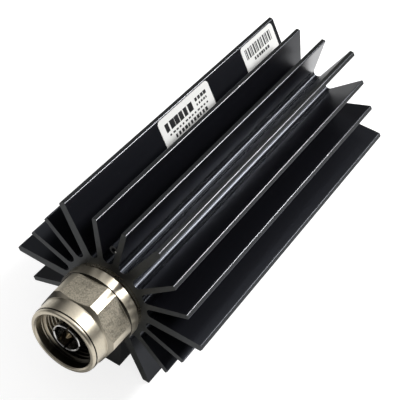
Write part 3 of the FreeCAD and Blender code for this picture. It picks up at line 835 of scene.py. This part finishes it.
def floor_glow(tree):
    """How bright the floor looks in reflections: painted light.

    It has a painted pool of light round a middle on the right and is darker further out. It is
    darkened under the load as painted shadow, and behind it too, where only a painted bright
    streak and the part far to the right are light.
    """
    light_middle, light_radius, dark_radius = (0.12, 0.05, 0.0), 0.2, 0.34
    streak_place, streak_core, streak_edge = 0.012, 0.02, 0.035
    point = object_point(tree)
    spot = split(tree, point)
    far = vector_length(tree, vector_maths(tree, "SUBTRACT", point, light_middle).outputs[0])
    lit = between(tree, ramp(tree, far, dark_radius, light_radius), 0.1, 1.0)
    behind = ramp(tree, spot["Y"], 0.055, 0.075)
    aside = ramp(tree, maths(tree, "ABSOLUTE", spot["X"]), 0.008, 0.02)
    free = between(tree, maths(tree, "MAXIMUM", aside, behind), 0.1, 1.0)
    off_streak = maths(tree, "ABSOLUTE", maths(tree, "SUBTRACT", spot["X"], streak_place))
    streak = ramp(tree, off_streak, streak_edge, streak_core)
    kept = maths(tree, "MAXIMUM", streak, ramp(tree, spot["X"], 0.1, 0.14))
    dim = product(tree, behind, between(tree, kept, 0.9, 0.0))
    lit = product(tree, lit, free, maths(tree, "SUBTRACT", 1.0, dim))
    glow = product(tree, behind, streak, ramp(tree, spot["Y"], 0.25, 0.15), 1.6)
    return maths(tree, "ADD", lit, glow)


def floor_finish(lift):
    """Pale floor: matt, and lifted to white where it is seen or reflected."""
    pale, shade = 3 * (0.45,), 3 * (0.43,)
    made, tree, shader = material("pale_floor", pale)
    mottle = noise(tree, object_point(tree), 6.0, 2.0, 0.5)
    tone = mixed(tree, mottle, full(pale), full(shade))
    paths = tree.nodes.new("ShaderNodeLightPath")
    mirrored = product(tree, paths.outputs["Is Glossy Ray"], floor_glow(tree))
    faced = product(tree, paths.outputs["Is Camera Ray"], 1.25)
    seen = maths(tree, "MAXIMUM", faced, mirrored)
    seen = maths(tree, "MAXIMUM", seen, paths.outputs["Is Transmission Ray"])
    feed(tree, shader, Base_Color=tone, Roughness=0.9, Specular_IOR_Level=0.1,
         Emission_Color=(1.0, 1.0, 1.0, 1.0), Emission_Strength=product(tree, seen, lift))
    return made


def studio_world(fill):
    """White where it is seen, reflected or looked through, and softer as light."""
    world = bpy.data.worlds.new("studio_world")
    world.use_nodes = True
    tree = world.node_tree
    tree.nodes.clear()
    paths = tree.nodes.new("ShaderNodeLightPath")
    seen = maths(tree, "MAXIMUM", paths.outputs["Is Camera Ray"], paths.outputs["Is Glossy Ray"])
    seen = maths(tree, "MAXIMUM", seen, paths.outputs["Is Transmission Ray"])
    soft = place(tree, "ShaderNodeBackground", {"Color": (1.0, 1.0, 1.0, 1.0), "Strength": fill}).outputs[0]
    white = place(tree, "ShaderNodeBackground", {"Color": (1.0, 1.0, 1.0, 1.0), "Strength": 1.0}).outputs[0]
    both = place(tree, "ShaderNodeMixShader", {0: seen, 1: soft, 2: white}).outputs[0]
    place(tree, "ShaderNodeOutputWorld", {"Surface": both})
    bpy.context.scene.world = world


def curtain_finish(height):
    """Grey cloth that only glows: dark, but light at its upper edge and low on its left side."""
    made, tree, shader = material("grey_curtain", (0.0, 0.0, 0.0))
    spot = split(tree, object_point(tree))
    upper = between(tree, ramp(tree, spot["Z"], 0.42 * height, 1.02 * height), 0.03, 0.5)
    low_left = product(tree, ramp(tree, spot["Z"], 0.3, 0.1), ramp(tree, spot["X"], -0.5, -0.8), 0.6)
    feed(tree, shader, Emission_Color=(1.0, 1.0, 1.0, 1.0),
         Emission_Strength=maths(tree, "MAXIMUM", upper, low_left), Roughness=1.0, Specular_IOR_Level=0.0)
    return made


def curtain(radius, height):
    """Round curtain (R sin a, R cos a, z) about the load, seen only in reflections."""
    angles = np.linspace(0, 2 * math.pi, 96, endpoint=False)
    levels = np.array([[0.0], [height]])
    across, ahead = radius * np.sin(angles), radius * np.cos(angles)
    points = np.stack(np.broadcast_arrays(across, ahead, levels), axis=-1)
    faces = grid_faces(2, len(angles), False, True)
    made = piece("curtain", points.reshape(-1, 3), faces, curtain_finish(height))
    made.visible_camera = False


def lamp(name, place_at, target, size, power):
    """Square soft lamp that faces a point."""
    data = bpy.data.lights.new(name, "AREA")
    data.shape = "SQUARE"
    data.size = size
    data.energy = power
    made = bpy.data.objects.new(name, data)
    bpy.context.scene.collection.objects.link(made)
    made.location = place_at
    made.rotation_euler = (Vector(target) - Vector(place_at)).to_track_quat("-Z", "Y").to_euler()


def studio_camera(sizes):
    """Camera that looks at its target with its own roll, without shift or depth of field."""
    data = bpy.data.cameras.new("camera")
    data.lens = sizes.lens
    data.sensor_width = 36.0
    data.clip_start = 0.01
    made = bpy.data.objects.new("camera", data)
    bpy.context.scene.collection.objects.link(made)
    ahead = (Vector(sizes.camera_target) - Vector(sizes.camera_place)).normalized()
    level = ahead.cross(Vector((0, 0, 1))).normalized()
    upright = level.cross(ahead)
    roll = sizes.camera_roll
    right = level * math.cos(roll) + upright * math.sin(roll)
    up = right.cross(ahead)
    turn = Matrix((right, up, -ahead)).transposed().to_4x4()
    made.matrix_world = Matrix.Translation(sizes.camera_place) @ turn
    bpy.context.scene.camera = made


# Operators

class DressHeatSink(bpy.types.Operator):
    """Give the heat sink its anodised finish"""
    bl_idname = "dummy_load.dress_heat_sink"
    bl_label = "Dress heat sink"

    def execute(self, context):
        dress("heat_sink", anodised_sink())
        return {"FINISHED"}


class MakeCouplingNut(bpy.types.Operator):
    """Make the coupling nut with its soft edges and its thread"""
    bl_idname = "dummy_load.make_coupling_nut"
    bl_label = "Make coupling nut"

    def execute(self, context):
        sizes = context.scene.load_nut
        finish = nickel_plate()
        angles = nut_angles(sizes)
        outlines = bevelled(nut_outlines(sizes, angles), sizes.edge_bevel)
        points = revolved(outlines, angles)
        faces = grid_faces(points.shape[0], points.shape[1], True, True)
        flat = points.reshape(-1, 3)
        nut = piece("nut_shell", flat, outward(flat, faces), finish, "nut")
        nut.data.set_sharp_from_angle(angle=math.radians(20))
        mark_nut(nut.data, sizes, angles, points.shape[1])
        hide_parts("coupling_nut")
        ridge = helix_ridge(sizes.thread_radius, sizes.thread_depth, sizes.thread_pitch,
                            THREAD_REAR - THREAD_LENGTH, THREAD_LENGTH - sizes.thread_pitch)
        ridge_piece("nut_thread", ridge, finish, "nut")
        return {"FINISHED"}


class DressPlug(bpy.types.Operator):
    """Give the plug's body, contacts, beads and gasket their finishes"""
    bl_idname = "dummy_load.dress_plug"
    bl_label = "Dress plug"

    def execute(self, context):
        contact = plated_contact()
        insulator = moulded("white_insulator", (0.78, 0.78, 0.75), 0.35, 0.5, 2400.0)
        rubber = moulded("black_rubber", (0.018, 0.018, 0.019), 0.5, 0.65, 2600.0)
        nickel = turned_metal("body_nickel", context.scene.load_colours.nickel, 0.24, 0.34, 12000.0)
        gilt = turned_metal("gilt_pin", (0.34, 0.27, 0.17), 0.26, 0.38, 15000.0)
        dress("connector_body", nickel)
        dress("outer_contact", contact)
        dress("centre_pin", gilt)
        for node in ("front_bead", "rear_bead"):
            dress(node, insulator)
        for node in ("nut_gasket", "body_seal", "end_plug_seal"):
            dress(node, rubber)
        return {"FINISHED"}


class DressInside(bpy.types.Operator):
    """Give the pieces inside the bore, and the plug that closes it, their finishes"""
    bl_idname = "dummy_load.dress_inside"
    bl_label = "Dress inside"

    def execute(self, context):
        bronze = turned_metal("spring_bronze", (0.55, 0.36, 0.19), 0.22, 0.35, 12000.0)
        steel = turned_metal("spring_steel", (0.42, 0.42, 0.43), 0.2, 0.32, 10000.0)
        plated = turned_metal("cap_plating", (0.7, 0.69, 0.67), 0.16, 0.28, 15000.0)
        aluminium = turned_metal("turned_aluminium", (0.66, 0.66, 0.67), 0.25, 0.38, 8000.0)
        black = turned_metal("anodised_plug", (0.012, 0.012, 0.014), 0.28, 0.4, 7000.0, metallic=0.0)
        ceramic = moulded("film_ceramic", (0.62, 0.6, 0.54), 0.45, 0.6, 3000.0)
        finishes = {
            "nut_snap_ring": bronze, "ground_contact": bronze, "disc_spring": steel,
            "resistor_front_cap": plated, "resistor_rear_cap": plated, "load_housing": aluminium,
            "end_plug": black, "resistor_rod": ceramic,
        }
        for node, finish in finishes.items():
            dress(node, finish)
        return {"FINISHED"}


class PrintLabels(bpy.types.Operator):
    """Give the labels their film and a plain print"""
    bl_idname = "dummy_load.print_labels"
    bl_label = "Print labels"

    def execute(self, context):
        film = label_film()
        ink = label_ink()
        dress("name_label", film)
        dress("serial_label", film)
        printed("name_print", "name_label", text_marks(), ink)
        printed("serial_print", "serial_label", stripe_marks(), ink)
        return {"FINISHED"}


class SetStudio(bpy.types.Operator):
    """Set up the floor, the light and the camera"""
    bl_idname = "dummy_load.set_studio"
    bl_label = "Set up studio"

    def execute(self, context):
        sizes = context.scene.load_studio
        half = sizes.floor_side / 2
        points = np.array([(-half, -half, 0.0), (half, -half, 0.0), (half, half, 0.0), (-half, half, 0.0)])
        floor = piece("floor", points, np.array([[0, 1, 2, 3]]), floor_finish(sizes.floor_lift))
        studio_world(sizes.fill)
        curtain(sizes.curtain_radius, sizes.curtain_height)
        lamp("key", sizes.key_place, AXIS, sizes.key_size, sizes.key_power)
        studio_camera(sizes)
        context.scene.view_settings.view_transform = "Standard"
        return {"FINISHED"}


class LoadPanel(bpy.types.Panel):
    """Panel with the steps and the sizes of the dummy load"""
    bl_idname = "VIEW3D_PT_dummy_load"
    bl_label = "Dummy load"
    bl_space_type = "VIEW_3D"
    bl_region_type = "UI"
    bl_category = "Dummy load"

    def draw(self, context):
        for operator in OPERATORS:
            self.layout.operator(operator.bl_idname)
        for settings in (context.scene.load_nut, context.scene.load_colours, context.scene.load_studio):
            box = self.layout.box()
            for key in settings.__annotations__:
                box.prop(settings, key)


OPERATORS = (DressHeatSink, MakeCouplingNut, DressPlug, DressInside, PrintLabels, SetStudio)
SETTINGS = (NutSizes, FinishColours, StudioSizes)


def register():
    """Register the classes and hang the settings on the scene."""
    for made in (*SETTINGS, *OPERATORS, LoadPanel):
        bpy.utils.register_class(made)
    bpy.types.Scene.load_nut = bpy.props.PointerProperty(type=NutSizes)
    bpy.types.Scene.load_colours = bpy.props.PointerProperty(type=FinishColours)
    bpy.types.Scene.load_studio = bpy.props.PointerProperty(type=StudioSizes)


def unregister():
    """Take the settings and the classes away."""
    del bpy.types.Scene.load_studio
    del bpy.types.Scene.load_colours
    del bpy.types.Scene.load_nut
    for made in reversed((*SETTINGS, *OPERATORS, LoadPanel)):
        bpy.utils.unregister_class(made)


def main():
    """Build everything."""
    register()
    bpy.ops.dummy_load.dress_heat_sink()
    bpy.ops.dummy_load.make_coupling_nut()
    bpy.ops.dummy_load.dress_plug()
    bpy.ops.dummy_load.dress_inside()
    bpy.ops.dummy_load.print_labels()
    bpy.ops.dummy_load.set_studio()


if __name__ == "__main__":
    main()
